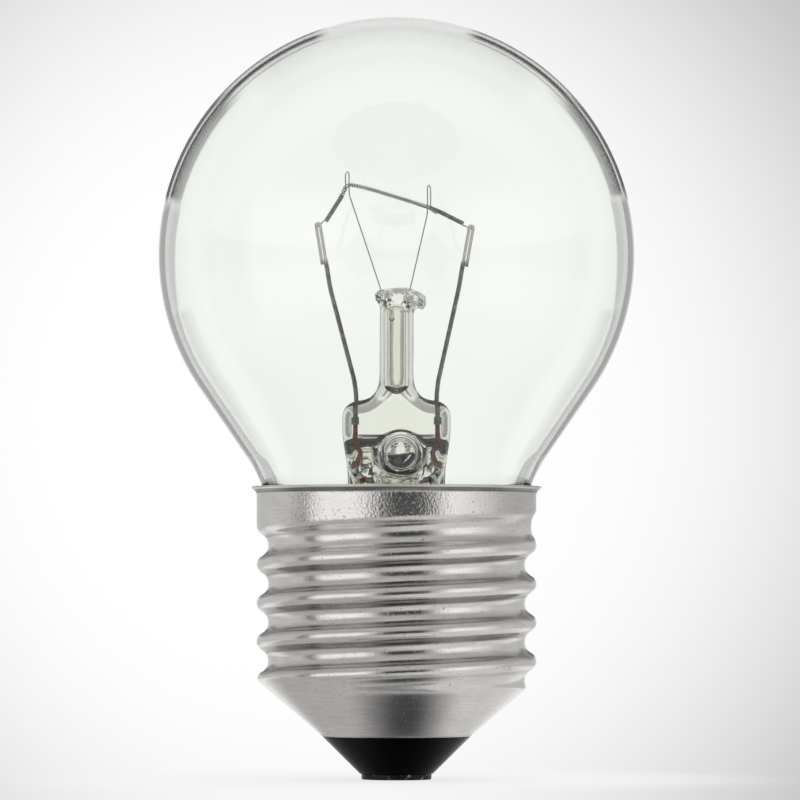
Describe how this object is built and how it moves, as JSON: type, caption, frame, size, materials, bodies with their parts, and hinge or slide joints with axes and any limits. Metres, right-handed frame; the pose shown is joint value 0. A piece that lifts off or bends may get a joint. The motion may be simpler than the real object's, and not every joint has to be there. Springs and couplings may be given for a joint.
{
  "type": "incandescent light bulb",
  "caption": "Clear round glass bulb with a coiled filament on a glass stem and a threaded metal cap; screws into a lamp holder and gives light.",
  "frame": {"origin": "middle of the centre contact's outer face, on the axis of the screw thread", "axes": "+Z along the axis from the contact to the crown of the glass; -Y towards the viewer of the picture, square to the flat of the glass press; +X to the right"},
  "size_m": [0.045, 0.045, 0.072],
  "materials": {
    "bulb_glass": "clear blown soda-lime glass",
    "stem_glass": "clear fused stem glass",
    "filament_metal": "coiled tungsten wire, grey",
    "cap_metal": "rolled sheet, satin",
    "cement": "baked basing cement, matt",
    "black_glass": "opaque black moulded glass, gloss",
    "contact_metal": "dull tinned brass",
    "solder": "tin solder, satin",
    "lead_metal": "nickel-plated wire, dull grey",
    "seal_metal": "copper-clad wire, red",
    "support_metal": "thin molybdenum wire",
    "outer_lead_metal": "bare copper wire"
  },
  "bodies": {
    "root": {"glass_envelope": "bulb_glass", "stem_press": "stem_glass", "arbor_tube": "stem_glass", "exhaust_tube": "stem_glass", "filament": "filament_metal", "screw_shell": "cap_metal", "basing_cement": "cement", "insulator": "black_glass", "contact_plate": "contact_metal", "centre_solder": "solder", "side_solder": "solder", "inner_lead_left": "lead_metal", "inner_lead_right": "lead_metal", "seal_wire_left": "seal_metal", "seal_wire_right": "seal_metal", "support_wire_left": "support_metal", "support_wire_right": "support_metal", "outer_lead_side": "outer_lead_metal", "outer_lead_centre": "outer_lead_metal"}
  },
  "joints": []
}
